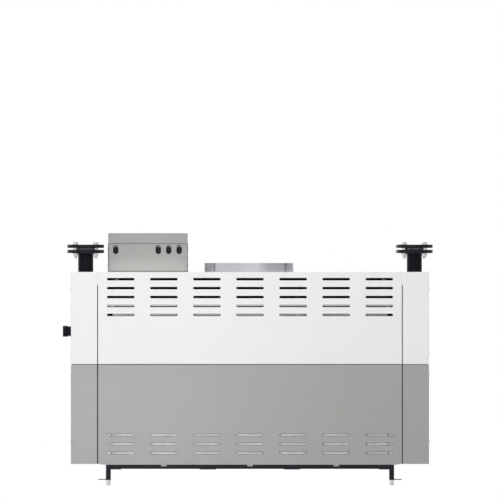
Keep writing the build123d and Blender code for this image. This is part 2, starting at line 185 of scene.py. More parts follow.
# Gas socket
socket_bore = 0.0224
socket_chamfer = 0.0012
socket_thread_pitch = 0.00231
socket_thread_depth = 0.0013
socket_thread_start = 0.0005
socket_thread_margin = 0.0020
socket_end_chamfer = 0.0010

# Flue
seam_angle = math.radians(-50)
seam_width = 0.014
seam_lap = 0.0007
seam_overlap = 0.0002
seam_end_gap = 0.0003
seam_spots = 3
spot_radius = 0.0026
spot_base = 0.0003
spot_height = 0.00025

# Finned tubes under the mouth of the flue
tube_pitch = 0.046
tube_radius = 0.0125
tube_drop = 0.0105
fin_radius = 0.0215
fin_pitch = 0.0052
fin_thickness = 0.0007
fin_steps = 8
fin_field = 0.25


def middle(node):
    """Centre of a node's box."""
    low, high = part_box(node)
    return (low + high) / 2


def frame_tube():
    """Side of the square tube that the base frame is made of."""
    low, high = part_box("front_rail")
    return high.z - low.z


# Mesh code
def solid_boxes(node, sides_only=False):
    """Lowest and highest corners of each separate solid in a node, or of each run of its sides."""
    bm = bmesh.new()
    bm.from_mesh(frame["nodes"][node].data)
    bmesh.ops.remove_doubles(bm, verts=bm.verts, dist=1e-5)
    if sides_only:
        flats = [face for face in bm.faces if abs(face.normal.y) > 0.5]
        bmesh.ops.delete(bm, geom=flats, context="FACES")
    waiting = set(bm.verts)
    boxes = []
    while waiting:
        reached = [waiting.pop()]
        for vert in reached:
            for edge in vert.link_edges:
                other = edge.other_vert(vert)
                if other in waiting:
                    waiting.remove(other)
                    reached.append(other)
        low, high = [
            Vector([pick(vert.co[axis] for vert in reached) for axis in range(3)]) for pick in (min, max)
        ]
        boxes.append((low, high))
    bm.free()
    return sorted(boxes, key=lambda box: tuple(box[0]))


def placed(centre, axis):
    """A placement with its own +Z along an axis."""
    turn = Vector(axis).to_track_quat("Z", "Y").to_matrix().to_4x4()
    return Matrix.Translation(Vector(centre)) @ turn


def circle(radius, z, points=circle_points):
    """Points of a level circle."""
    return [
        (radius * math.cos(2 * math.pi * i / points), radius * math.sin(2 * math.pi * i / points), z)
        for i in range(points)
    ]


def skin(bm, place, rings, ends="caps"):
    """Quads between rings of points. The end rings are capped, joined to each other or left open."""
    made = [[bm.verts.new(place @ Vector(point)) for point in ring] for ring in rings]
    pairs = list(zip(made, made[1:]))
    if ends == "joined":
        pairs.append((made[-1], made[0]))
    for lower, upper in pairs:
        for i in range(len(lower)):
            j = (i + 1) % len(lower)
            bm.faces.new((lower[i], lower[j], upper[j], upper[i]))
    if ends == "caps":
        bm.faces.new(made[0][::-1])
        bm.faces.new(made[-1])


def turned(bm, place, profile, ends="caps", points=circle_points):
    """A profile of (radius, height) pairs turned about the placement's axis."""
    skin(bm, place, [circle(radius, z, points) for radius, z in profile], ends)


def hex_radius(angle, across):
    """Distance from the centre of a hexagon to its side at an angle."""
    return across / 2 / math.cos((angle + math.pi / 6) % (math.pi / 3) - math.pi / 6)


def hex_ring(across, height_at):
    """Points of a hexagon, each at the height that its radius gives."""
    ring = []
    for i in range(circle_points):
        angle = 2 * math.pi * i / circle_points
        radius = hex_radius(angle, across)
        ring.append((radius * math.cos(angle), radius * math.sin(angle), height_at(radius)))
    return ring


def hexagon(bm, place, across, height, both_ends=False):
    """A bolt head or nut whose corners are turned down by a 30 degree cone."""
    flat_radius = across / 2 * hex_flat_share
    rings = []
    if both_ends:
        rings.append(circle(flat_radius, 0))
        rings.append(hex_ring(across, lambda radius: (radius - flat_radius) * hex_corner_slope))
    else:
        rings.append(hex_ring(across, lambda radius: 0))
    rings.append(hex_ring(across, lambda radius: height - (radius - flat_radius) * hex_corner_slope))
    rings.append(circle(flat_radius, height))
    skin(bm, place, rings)


def washer(bm, place, hole, radius, thickness):
    """A flat washer with broken edges."""
    edge = thickness * 0.15
    turned(bm, place, [
        (hole, edge), (hole + edge, 0), (radius - edge, 0), (radius, edge),
        (radius, thickness - edge), (radius - edge, thickness),
        (hole + edge, thickness), (hole, thickness - edge),
    ], ends="joined")


def thread_rings(radius, length, pitch, depth, inward=False):
    """Rings of a helical V thread whose two ends are turned down. An inward one lines a bore."""
    steps = max(thread_steps, round(length / pitch * thread_steps))
    run_out = pitch * 0.6
    rings = []
    for step in range(steps + 1):
        z = length * step / steps
        lead_in = min(1.0, min(z, length - z) / run_out + 0.15)
        ring = []
        for i in range(circle_points):
            angle = 2 * math.pi * i / circle_points
            phase = (z / pitch - i / circle_points) % 1
            groove = abs(2 * phase - 1) * depth * lead_in + depth * (1 - lead_in)
            reach = radius + groove if inward else radius - groove
            ring.append((reach * math.cos(angle), reach * math.sin(angle), z))
        rings.append(ring)
    return rings


def threaded_rod(bm, place, radius, length):
    """A rod with the thread of the flange bolts."""
    skin(bm, place, thread_rings(radius, length, thread_pitch, thread_depth))


def block(bm, low, high, edge=0.0004):
    """A bar between two corners with its long edges broken."""
    low, high = Vector(low), Vector(high)
    rings = []
    for z in (low.z, high.z):
        rings.append([
            (low.x + edge, low.y, z), (high.x - edge, low.y, z), (high.x, low.y + edge, z),
            (high.x, high.y - edge, z), (high.x - edge, high.y, z), (low.x + edge, high.y, z),
            (low.x, high.y - edge, z), (low.x, low.y + edge, z),
        ])
    skin(bm, Matrix.Identity(4), rings)


def arc_strip(bm, radius, thickness, start, end, low, high, steps=8):
    """A sheet bent round an upright axis at the origin. Angles turn from the front to the right."""
    rings = []
    for step in range(steps + 1):
        angle = start + (end - start) * step / steps
        out = Vector((math.sin(angle), -math.cos(angle), 0))
        outer = radius + thickness
        section = ((radius, low), (outer, low), (outer, high), (radius, high))
        rings.append([out * reach + Vector((0, 0, z)) for reach, z in section])
    skin(bm, Matrix.Identity(4), rings)


def weld_section(size, bulge):
    """Points of a fillet bead in its corner, with legs along the two plates."""
    arc = []
    for step in range(bead_steps + 1):
        share = step / bead_steps
        lift = bulge * math.sin(math.pi * share)
        arc.append((size * (1 - share) + lift, size * share + lift))
    return [(0, 0)] + arc


def ring_weld(bm, place, radius, size):
    """A rippled bead round a tube, on the plate at the placement's origin."""
    ripples = round(2 * math.pi * radius / ripple_length)
    rings = [[] for _ in weld_section(size, 0)]
    for i in range(ring_weld_points):
        angle = 2 * math.pi * i / ring_weld_points
        bulge = size * (weld_bulge + ring_ripple * math.cos(ripples * angle))
        for ring, (out, up) in zip(rings, weld_section(size, bulge)):
            reach = radius - weld_overlap + out
            ring.append((reach * math.cos(angle), reach * math.sin(angle), up))
    skin(bm, place, rings, ends="joined")


def straight_weld(bm, start, end, first_leg, second_leg, size):
    """A rippled bead between two points, in the corner of two plates."""
    start, end = Vector(start), Vector(end)
    first_leg, second_leg = Vector(first_leg), Vector(second_leg)
    length = (end - start).length
    steps = max(6, round(length / ripple_length * ripple_steps))
    rings = []
    for step in range(steps + 1):
        along = start.lerp(end, step / steps)
        taper = min(1.0, min(step, steps - step) / ripple_steps + 0.35)
        bulge = size * (weld_bulge + straight_ripple * math.cos(2 * math.pi * step / ripple_steps))
        rings.append([
            along + first_leg * out * taper + second_leg * up * taper
            for out, up in weld_section(size, bulge)
        ])
    skin(bm, Matrix.Identity(4), rings)


def obround(width, height, inset, depth, points_per_end=16):
    """Points of an upright slot shape in X and Z, at one depth."""
    radius = width / 2 - inset
    lift = height / 2 - width / 2
    ring = []
    for end, start_angle in ((1, 0), (-1, math.pi)):
        for i in range(points_per_end + 1):
            angle = start_angle + math.pi * i / points_per_end
            ring.append((radius * math.cos(angle), depth, end * lift + radius * math.sin(angle)))
    return ring


def panel_screw(bm, place, radius, height):
    """A domed screw head with a hexagon socket."""
    rim = height * 0.35
    rise = height * 0.65
    draw_in = radius * 0.38
    socket = radius * 0.85
    dome = [(radius, 0), (radius, rim)]
    for step in range(1, dome_steps):
        angle = math.radians(90 * step / dome_steps)
        dome.append((radius - draw_in * (1 - math.cos(angle)), rim + rise * math.sin(angle)))
    rings = [circle(reach, z) for reach, z in dome]
    rings.append(circle(radius * 0.55, height))
    rings.append(hex_ring(socket, lambda reach: height * 0.98))
    rings.append(hex_ring(socket, lambda reach: rim))
    skin(bm, place, rings)


def flush_screw(bm, place, radius):
    """A countersunk screw head that stands a hair proud, with a hexagon socket."""
    root, edge, top = -0.0004, 0.0001, 0.00025
    socket_top, socket_floor = 0.0002, -0.0018
    socket = radius * 0.95
    rings = [circle(radius, root), circle(radius, edge), circle(radius * 0.93, top)]
    rings.append(circle(radius * 0.6, top))
    rings.append(hex_ring(socket, lambda reach: socket_top))
    rings.append(hex_ring(socket, lambda reach: socket_floor))
    skin(bm, place, rings)


def new_piece(name, build, material):
    """An object on the root body, with the mesh that build makes."""
    bm = bmesh.new()
    build(bm)
    bmesh.ops.recalc_face_normals(bm, faces=bm.faces)
    for face in bm.faces:
        face.smooth = True
    mesh = bpy.data.meshes.new(name)
    bm.to_mesh(mesh)
    bm.free()
    mesh.set_sharp_from_angle(angle=smooth_limit)
    mesh.materials.append(material)
    piece = bpy.data.objects.new(name, mesh)
    bpy.context.scene.collection.objects.link(piece)
    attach(piece, "root")
    return piece


# Material code
def add(tree, kind, sockets=None, **settings):
    """A new node. Each named socket takes a value or a link."""
    node = tree.nodes.new(kind)
    for name, value in settings.items():
        setattr(node, name, value)
    for name, value in (sockets or {}).items():
        if isinstance(value, bpy.types.NodeSocket):
            tree.links.new(value, node.inputs[name])
        else:
            node.inputs[name].default_value = value
    return node


def new_material(name):
    """A material, its node tree and its main shader."""
    material = bpy.data.materials.new(name)
    material.use_nodes = True
    tree = material.node_tree
    return material, tree, tree.nodes["Principled BSDF"]


def object_place(tree, scale=(1, 1, 1)):
    """The point on the piece in metres, stretched along each axis."""
    where = add(tree, "ShaderNodeTexCoord").outputs["Object"]
    mapping = add(tree, "ShaderNodeMapping", {"Vector": where, "Scale": scale})
    return mapping.outputs["Vector"]


def noise(tree, where, scale, detail=2.0, roughness=0.5):
    """The value of a noise texture."""
    node = add(tree, "ShaderNodeTexNoise", {
        "Vector": where, "Scale": scale, "Detail": detail, "Roughness": roughness,
    })
    return node.outputs["Fac"]


def spread(tree, value, low, high, start=0.3, end=0.7):
    """A texture value mapped to a range."""
    node = add(tree, "ShaderNodeMapRange", {
        "Value": value, "From Min": start, "From Max": end, "To Min": low, "To Max": high,
    })
    return node.outputs["Result"]


def between(tree, factor, first, second):
    """A colour between two colours."""
    node = tree.nodes.new("ShaderNodeMix")
    node.data_type = "RGBA"
    for socket, value in ((0, factor), (6, first), (7, second)):
        if isinstance(value, bpy.types.NodeSocket):
            tree.links.new(value, node.inputs[socket])
        elif socket == 0:
            node.inputs[socket].default_value = value
        else:
            node.inputs[socket].default_value = (*value, 1.0)
    return node.outputs[2]


def bump(tree, height, strength, distance, normal=None):
    """A normal that follows the slopes of a texture, on top of another normal."""
    sockets = {"Height": height, "Strength": strength, "Distance": distance}
    if normal is not None:
        sockets["Normal"] = normal
    return add(tree, "ShaderNodeBump", sockets).outputs["Normal"]


def soft_edge(tree, radius):
    """A normal that rounds the sharp edges of sheet metal and paint."""
    return add(tree, "ShaderNodeBevel", {"Radius": radius}, samples=4).outputs["Normal"]


def edge_mask(tree, radius):
    """Near 1 along sharp edges and 0 on the flats between them."""
    rounded = add(tree, "ShaderNodeBevel", {"Radius": radius}, samples=4).outputs["Normal"]
    plain = add(tree, "ShaderNodeNewGeometry").outputs["Normal"]
    turn = add(tree, "ShaderNodeVectorMath", {0: rounded, 1: plain}, operation="DOT_PRODUCT")
    return spread(tree, turn.outputs["Value"], 0.0, 1.0, start=0.995, end=0.80)


def shades(colour, change):
    """A colour made lighter or darker by a share."""
    return tuple(min(1.0, channel * (1 + change)) for channel in colour)


def powder_coat(name, colour, roughness, specular):
    """Satin powder coat with orange peel, slow drift of shade and the slight waves of flat sheet."""
    material, tree, shader = new_material(name)
    where = object_place(tree)
    drift = spread(tree, noise(tree, where, 2.2, 4.0), 0.0, 1.0)
    speckle = spread(tree, noise(tree, where, 420.0, 1.0), 0.0, 0.25)
    base = between(tree, drift, shades(colour, -0.012), shades(colour, 0.012))
    base = between(tree, speckle, base, shades(colour, -0.05))
    tree.links.new(base, shader.inputs["Base Color"])
    gloss = spread(tree, noise(tree, where, 14.0, 5.0), roughness - 0.035, roughness + 0.035)
    tree.links.new(gloss, shader.inputs["Roughness"])
    shader.inputs["Specular IOR Level"].default_value = specular
    waves = bump(tree, noise(tree, where, 3.1, 1.0), 0.25, 0.0010, soft_edge(tree, 0.0008))
    peel = bump(tree, noise(tree, where, 760.0, 2.0), 0.16, 0.00018, waves)
    tree.links.new(peel, shader.inputs["Normal"])
    return material


def satin_black(name, colour, roughness, specular, worn=(0.10, 0.10, 0.105)):
    """Sprayed black paint on steel, with dust on it, mill scale under it and thin paint on its edges."""
    material, tree, shader = new_material(name)
    where = object_place(tree)
    dust = spread(tree, noise(tree, where, 26.0, 6.0, 0.6), 0.0, 1.0, start=0.35, end=0.75)
    base = between(tree, dust, colour, tuple(channel * 1.35 + 0.002 for channel in colour))
    patchy = spread(tree, noise(tree, where, 85.0, 5.0, 0.65), 0.0, 0.7, start=0.48, end=0.62)
    wear = add(tree, "ShaderNodeMath", {0: edge_mask(tree, 0.0009), 1: patchy}, operation="MULTIPLY")
    base = between(tree, wear.outputs["Value"], base, worn)
    tree.links.new(base, shader.inputs["Base Color"])
    gloss = spread(tree, noise(tree, where, 60.0, 5.0), roughness - 0.06, roughness + 0.08)
    tree.links.new(gloss, shader.inputs["Roughness"])
    shader.inputs["Specular IOR Level"].default_value = specular
    scale_marks = bump(tree, noise(tree, where, 130.0, 4.0), 0.18, 0.00030, soft_edge(tree, 0.0007))
    grain = bump(tree, noise(tree, where, 1100.0, 1.0), 0.12, 0.00012, scale_marks)
    tree.links.new(grain, shader.inputs["Normal"])
    return material


def matt_black(name, colour):
    """Heat-resistant matt coating with a dry, dusty grain. Its near-black colour is painted shade, the dark
    inside of the casing.
    """
    material, tree, shader = new_material(name)
    where = object_place(tree)
    dry = spread(tree, noise(tree, where, 9.0, 6.0, 0.6), 0.0, 1.0)
    base = between(tree, dry, colour, tuple(channel * 1.5 for channel in colour))
    tree.links.new(base, shader.inputs["Base Color"])
    shader.inputs["Specular IOR Level"].default_value = 0.08
    gloss = spread(tree, dry, 0.75, 0.9, start=0.0, end=1.0)
    tree.links.new(gloss, shader.inputs["Roughness"])
    grain = bump(tree, noise(tree, where, 900.0, 3.0), 0.3, 0.0002, soft_edge(tree, 0.0008))
    tree.links.new(grain, shader.inputs["Normal"])
    return material


def galvanised(name, colour, dullest=0.50, relief=0.10):
    """Hot-dip zinc with its crystal spangle, each crystal a little lighter, duller or tilted."""
    material, tree, shader = new_material(name)
    where = object_place(tree)
    wander = add(tree, "ShaderNodeTexNoise", {"Vector": where, "Scale": 55.0, "Detail": 2.0})
    bent = add(tree, "ShaderNodeVectorMath", {
        0: wander.outputs["Color"], "Scale": 0.009,
    }, operation="SCALE")
    moved = add(tree, "ShaderNodeVectorMath", {0: where, 1: bent.outputs["Vector"]}, operation="ADD")
    cells = add(tree, "ShaderNodeTexVoronoi", {"Vector": moved.outputs["Vector"], "Scale": 85.0})
    parts = add(tree, "ShaderNodeSeparateColor", {"Color": cells.outputs["Color"]})
    crystal = parts.outputs["Red"]
    base = between(tree, crystal, shades(colour, -0.05), shades(colour, 0.05))
    tree.links.new(base, shader.inputs["Base Color"])
    shader.inputs["Metallic"].default_value = 1.0
    frost = spread(tree, parts.outputs["Green"], dullest - 0.10, dullest, start=0.0, end=1.0)
    tree.links.new(frost, shader.inputs["Roughness"])
    feather = add(tree, "ShaderNodeTexNoise", {
        "Vector": object_place(tree, (1.0, 1.0, 0.3)), "Scale": 620.0, "Detail": 3.0,
    })
    facets = bump(tree, cells.outputs["Distance"], relief, 0.0010, soft_edge(tree, 0.0008))
    grain = bump(tree, feather.outputs["Fac"], 0.10, 0.00010, facets)
    tree.links.new(grain, shader.inputs["Normal"])
    return material


def brushed_steel(name, colour):
    """Stainless sheet brushed round the flue, with faint handling marks."""
    material, tree, shader = new_material(name)
    lines = noise(tree, object_place(tree, (6.0, 6.0, 900.0)), 1.6, 4.0, 0.65)
    marks = noise(tree, object_place(tree), 11.0, 5.0, 0.55)
    base = between(tree, spread(tree, lines, 0.0, 1.0), shades(colour, -0.05), shades(colour, 0.05))
    handled = spread(tree, marks, 0.0, 0.35, start=0.45, end=0.8)
    base = between(tree, handled, base, shades(colour, -0.12))
    tree.links.new(base, shader.inputs["Base Color"])
    shader.inputs["Metallic"].default_value = 1.0
    shader.inputs["Anisotropic"].default_value = 0.50
    shader.inputs["Anisotropic Rotation"].default_value = 0.25
    gloss = spread(tree, lines, 0.14, 0.22)
    tree.links.new(gloss, shader.inputs["Roughness"])
    tree.links.new(bump(tree, lines, 0.10, 0.00008, soft_edge(tree, 0.0005)), shader.inputs["Normal"])
    return material


def bright_zinc(name, colour):
    """Bright zinc plate with a cloudy passivated skin and fine turning marks."""
    material, tree, shader = new_material(name)
    where = object_place(tree)
    cloud = spread(tree, noise(tree, where, 120.0, 4.0), 0.0, 1.0)
    base = between(tree, cloud, shades(colour, -0.08), shades(colour, 0.04))
    tree.links.new(base, shader.inputs["Base Color"])
    shader.inputs["Metallic"].default_value = 1.0
    gloss = spread(tree, cloud, 0.20, 0.34, start=0.0, end=1.0)
    tree.links.new(gloss, shader.inputs["Roughness"])
    marks = noise(tree, object_place(tree, (1.0, 1.0, 6.0)), 900.0, 2.0)
    tree.links.new(bump(tree, marks, 0.12, 0.00006, soft_edge(tree, 0.0003)), shader.inputs["Normal"])
    return material


def black_rubber(name, colour):
    """Moulded rubber with a faint bloom on it."""
    material, tree, shader = new_material(name)
    where = object_place(tree)
    bloom = spread(tree, noise(tree, where, 240.0, 4.0), 0.0, 1.0)
    base = between(tree, bloom, colour, tuple(channel * 1.6 for channel in colour))
    tree.links.new(base, shader.inputs["Base Color"])
    gloss = spread(tree, bloom, 0.48, 0.66, start=0.0, end=1.0)
    tree.links.new(gloss, shader.inputs["Roughness"])
    shader.inputs["Specular IOR Level"].default_value = 0.35
    tree.links.new(bump(tree, noise(tree, where, 1600.0, 2.0), 0.15, 0.0001), shader.inputs["Normal"])
    return material


def fibre_sheet(name, colour):
    """Pressed fibre of a flange gasket."""
    material, tree, shader = new_material(name)
    fibres = noise(tree, object_place(tree, (1.0, 1.0, 4.0)), 700.0, 4.0, 0.7)
    base = between(tree, spread(tree, fibres, 0.0, 1.0), shades(colour, -0.2), shades(colour, 0.2))
    tree.links.new(base, shader.inputs["Base Color"])
    shader.inputs["Roughness"].default_value = 0.85
    tree.links.new(bump(tree, fibres, 0.35, 0.0002), shader.inputs["Normal"])
    return material


dark_wear = (0.02, 0.02, 0.022)
materials = {
    "white_paint": powder_coat("white_paint", (0.845, 0.830, 0.835), 0.44, 0.25),
    "grey_paint": powder_coat("grey_paint", (0.354, 0.354, 0.343), 0.34, 0.50),
    # Painted shade: the control box's grey is the panels' grey paint made darker.
    "shaded_box_grey": powder_coat("shaded_box_grey", (0.329, 0.329, 0.319), 0.34, 0.50),
    "frame_black": satin_black("frame_black", (0.011, 0.010, 0.016), 0.42, 0.13),
    "pipe_black": satin_black("pipe_black", (0.0036, 0.0024, 0.0062), 0.32, 0.13, worn=dark_wear),
    "flange_black": satin_black("flange_black", (0.0060, 0.0049, 0.0100), 0.30, 0.22, worn=dark_wear),
    # Painted shade: the hood is near black, standing for the shade inside the casing.
    "hood_black": matt_black("hood_black", (0.004, 0.004, 0.004)),
    "galvanised_sheet": galvanised("galvanised_sheet", (0.53, 0.525, 0.565)),
    "dull_galvanised": galvanised("dull_galvanised", (0.82, 0.81, 0.855), dullest=0.66, relief=0.0),
    "stainless_steel": brushed_steel("stainless_steel", (0.62, 0.62, 0.655)),
    "zinc_plate": bright_zinc("zinc_plate", (0.84, 0.84, 0.86)),
    # Painted shade: a dark copy of the zinc plate, for bolts that sit in shade behind the slots.
    "shaded_zinc": bright_zinc("shaded_zinc", (0.20, 0.20, 0.205)),
    "gland_rubber": black_rubber("gland_rubber", (0.006, 0.006, 0.0065)),
    "gasket_sheet": fibre_sheet("gasket_sheet", (0.72, 0.72, 0.73)),
    # Painted shade: a dark fibre strip under the exchanger rim.
    "rim_shade_sheet": fibre_sheet("rim_shade_sheet", (0.19, 0.19, 0.195)),
}


# Finish of the frame's own nodes
for subpart in frame["record"]["subparts"]:
    node = frame["nodes"][subpart["node"]]
    node.data.materials.clear()
    node.data.materials.append(materials[subpart["material_slot"]])
special_finish = {
    "flange_black": (
        "left_stub_flange", "left_counter_flange", "right_stub_flange", "right_counter_flange",
    ),
    "dull_galvanised": ("combustion_chamber", "chamber_uprights"),
    # The control box takes the darker copy of the grey paint, which is painted shade.
    "shaded_box_grey": ("control_box_body", "control_box_lid", "control_box_cover"),
}
for finish, names in special_finish.items():
    for name in names:
        frame["nodes"][name].data.materials[0] = materials[finish]


# Flange bolts, from the upper flange down
def flange_bolt_places(side):
    """Where each bolt of a flange pair stands, in X and Y."""
    centre = middle(f"{side}_counter_flange")
    for step in range(flange_bolts):
        angle = 2 * math.pi * (step + 0.5) / flange_bolts
        yield (
            centre.x + flange_bolt_circle / 2 * math.cos(angle),
            centre.y + flange_bolt_circle / 2 * math.sin(angle),
        )


def flange_bolt_set(bm, side):
    """Bolts with washers and nuts that hold a flange pair together."""
    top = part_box(f"{side}_counter_flange")[1].z
    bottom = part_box(f"{side}_stub_flange")[0].z
    hole = bolt_radius + bolt_clearance
    head_bottom = top + washer_thickness
    nut_top = bottom - washer_thickness
    nut_bottom = nut_top - nut_height
    tail = nut_bottom - bolt_tail
    shank = head_bottom - nut_top + bolt_overlap
    for x, y in flange_bolt_places(side):
        washer(bm, placed((x, y, top), upward), hole, washer_radius, washer_thickness)
        hexagon(bm, placed((x, y, head_bottom), upward), bolt_across, bolt_head_height)
        washer(bm, placed((x, y, nut_top), upward), hole, washer_radius, washer_thickness)
        hexagon(bm, placed((x, y, nut_bottom), upward), bolt_across, nut_height, both_ends=True)
        threaded_rod(bm, placed((x, y, tail), upward), bolt_radius, bolt_tail + nut_height)
        turned(bm, placed((x, y, nut_top), upward), [(bolt_radius, 0), (bolt_radius, shank)])


for side in ("left", "right"):
    new_piece(
        f"{side}_flange_bolts", lambda bm: flange_bolt_set(bm, side),
        materials["zinc_plate"],
    )


# Levelling bolts with threads, in place of the plain ones
def levelling_bolt_set(bm):
    """A bolt, head down, and its lock nut under the middle of each leg's tube."""
    half_tube = frame_tube() / 2
    bolt_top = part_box("levelling_bolts")[1].z
    rod_bottom = bolt_head_height - bolt_overlap
    nut_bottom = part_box("front_left_leg")[0].z - nut_height
    for leg in ("front_left_leg", "front_right_leg", "rear_left_leg", "rear_right_leg"):
        low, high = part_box(leg)
        inner_x = high.x if high.x < 0 else low.x
        x = math.copysign(abs(inner_x) + half_tube, inner_x)
        y = math.copysign(max(abs(low.y), abs(high.y)) - half_tube, low.y)
        hexagon(bm, placed((x, y, bolt_head_height), downward), bolt_across, bolt_head_height)
        threaded_rod(bm, placed((x, y, rod_bottom), upward), bolt_radius, bolt_top - bolt_head_height)
        hexagon(bm, placed((x, y, nut_bottom), upward), bolt_across, nut_height, both_ends=True)


levelling = new_piece("levelling_bolts_threaded", levelling_bolt_set, materials["zinc_plate"])
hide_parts("levelling_bolts")


# Welds
def flange_welds(bm):
    """A bead round each water stub, under its flange."""
    for side in ("left", "right"):
        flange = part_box(f"{side}_stub_flange")[0].z
        low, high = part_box(f"{side}_water_stub")
        centre = middle(f"{side}_water_stub")
        radius = (high.x - low.x) / 2
        ring_weld(bm, placed((centre.x, centre.y, flange), downward), radius, flange_weld)


def frame_welds(bm):
    """Beads between the legs and their plates, and between the legs and the rails."""
    rail_low, rail_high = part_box("front_rail")
    rail_bottom = rail_low.z
    tube = frame_tube()
    plate_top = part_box("front_left_leg")[0].z + foot_plate_thickness
    for front in (-1, 1):
        outer_y = -front * rail_low.y
        inner_y = outer_y - front * tube
        for side in (-1, 1):
            inner_x = side * rail_high.x
            outer_x = side * (rail_high.x + tube)
            straight_weld(
                bm, (outer_x, outer_y, plate_top), (outer_x, inner_y, plate_top),
                (side, 0, 0), upward, frame_weld,
            )
            straight_weld(
                bm, (inner_x, inner_y, plate_top), (outer_x, inner_y, plate_top),
                (0, -front, 0), upward, frame_weld,
            )
            straight_weld(
                bm, (inner_x, outer_y, rail_bottom), (inner_x, inner_y, rail_bottom),
                (-side, 0, 0), downward, frame_weld,
            )


new_piece("flange_welds", flange_welds, materials["pipe_black"])
new_piece("frame_welds", frame_welds, materials["frame_black"])


# Screws and rivets
def side_screws(bm):
    """Screws in both sides of the casing, near its front and rear."""
    low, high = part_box("left_upper_panel")
    for side in (-1, 1):
        for front in (-1, 1):
            for height in side_screw_heights:
                y = front * (high.y - side_screw_inset)
                place = placed((side * abs(low.x), y, height), (side, 0, 0))
                panel_screw(bm, place, side_screw_radius, side_screw_height)


def cover_screws(bm):
    """Flush screws along all four sides of the top cover."""
    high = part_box("top_cover")[1]
    for front in (-1, 1):
        for share in cover_screw_shares:
            place = placed((high.x * share, front * (high.y - cover_screw_inset), high.z), upward)
            flush_screw(bm, place, cover_screw_radius)
    for side in (-1, 1):
        place = placed((side * (high.x - cover_screw_inset), 0.0, high.z), upward)
        flush_screw(bm, place, cover_screw_radius)


def box_screws(bm):
    """Screws that hold the sides of the control box."""
    low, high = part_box("control_box_body")
    lid_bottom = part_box("control_box_lid")[0].z
    for side, x in ((-1, low.x), (1, high.x)):
        for y in (low.y + box_screw_inset, high.y - box_screw_inset):
            for z in (low.z + box_screw_rise, lid_bottom - box_screw_drop):
                panel_screw(bm, placed((x, y, z), (side, 0, 0)), box_screw_radius, box_screw_height)


def box_rivets(bm):
    """Two small rivets in the front of the control box."""
    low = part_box("control_box_cover")[0]
    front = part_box("control_box_body")[0].y
    for inset, rise in box_rivet_places:
        place = placed((low.x + inset, front, low.z + rise), (0, -1, 0))
        panel_screw(bm, place, box_rivet_radius, box_rivet_height)


new_piece("side_screws", side_screws, materials["zinc_plate"])
new_piece("cover_screws", cover_screws, materials["zinc_plate"])
new_piece("box_screws", box_screws, materials["zinc_plate"])
new_piece("box_rivets", box_rivets, materials["shaded_box_grey"])


# Black rings of painted shade inside the slots
def slot_shade_rings(bm, node):
    """A black ring inside each slot of a panel, painted shade along the slot's edge."""
    for low, high in solid_boxes(node, sides_only=True):
        length, height = high.x - low.x, high.z - low.z
        if max(abs(length - slot_length), abs(height - slot_height)) > slot_size_limit:
            continue
        place = Matrix.Translation((low + high) / 2) @ Matrix.Rotation(math.pi / 2, 4, "Y")
        reach = (high.y - low.y) / 2 - slot_shade_recess
        outer, inner = slot_shade_gap, slot_shade_width
        profile = ((outer, -reach), (inner, -reach), (inner, reach), (outer, reach))
        skin(bm, place, [obround(height, length, inset, depth) for inset, depth in profile], ends="joined")


for panel in ("front_upper", "front_lower", "rear_upper", "rear_lower"):
    new_piece(
        f"{panel}_slot_shade_rings", lambda bm: slot_shade_rings(bm, f"{panel}_panel"),
        materials["hood_black"],
    )


# Cable glands, moulded ones in place of the plain ones
def gland_bushes(bm):
    """A rounded lip, a groove and a raised pad in the middle of each."""
    for low, high in solid_boxes("cable_glands"):
        centre = (low + high) / 2
        place = Matrix.Translation((centre.x, 0, centre.z))
        width, height = high.x - low.x, high.z - low.z
        rings = [obround(width, height, 0, high.y)]
        for inset, depth in gland_lip + gland_groove + gland_pad:
            rings.append(obround(width, height, inset, low.y + depth))
        skin(bm, place, rings)


glands = new_piece("gland_bushes", gland_bushes, materials["gland_rubber"])
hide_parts("cable_glands")


# Gas socket with its thread, in place of the plain one
def gas_socket(bm):
    """A turned socket with a chamfered mouth and an inner thread."""
    low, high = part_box("gas_coupling")
    centre = middle("gas_coupling")
    outer = (high.z - low.z) / 2
    length = high.x - low.x
    place = placed((high.x, centre.y, centre.z), (-1, 0, 0))
    mouth = socket_bore + socket_thread_depth
    profile = (
        (mouth, 0), (outer - socket_chamfer, 0), (outer, socket_chamfer),
        (outer, length - socket_chamfer), (outer - socket_chamfer, length),
        (mouth + socket_end_chamfer, length), (mouth, length - socket_end_chamfer),
    )
    rings = [circle(radius, z) for radius, z in profile]
    thread_length = length - socket_thread_margin
    thread = thread_rings(socket_bore, thread_length, socket_thread_pitch, socket_thread_depth, inward=True)
    rings += [[(x, y, z + socket_thread_start) for x, y, z in ring] for ring in reversed(thread)]
    skin(bm, place, rings, ends="joined")


socket = new_piece("gas_socket", gas_socket, materials["pipe_black"])
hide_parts("gas_coupling")


# Lapped seam of the flue
def flue_seam(bm):
    """A lapped strip down the flue socket with a row of spot welds."""
    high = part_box("flue_socket")[1]
    cover_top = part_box("top_cover")[1].z
    half_angle = seam_width / 2 / high.x
    arc_strip(
        bm, high.x - seam_overlap, seam_lap + seam_overlap,
        seam_angle - half_angle, seam_angle + half_angle,
        cover_top + seam_end_gap, high.z - seam_end_gap,
    )
    out = Vector((math.sin(seam_angle), -math.cos(seam_angle), 0))
    for spot in range(seam_spots):
        z = cover_top + (high.z - cover_top) * (spot + 0.5) / seam_spots
        place = placed(out * (high.x + seam_lap - spot_base) + Vector((0, 0, z)), out)
        turned(bm, place, [
            (spot_radius, 0), (spot_radius, spot_base), (spot_radius * 0.8, spot_base + spot_height),
            (spot_radius * 0.5, spot_base + spot_height * 0.4),
        ], points=small_circle_points)


new_piece("flue_seam", flue_seam, materials["stainless_steel"])


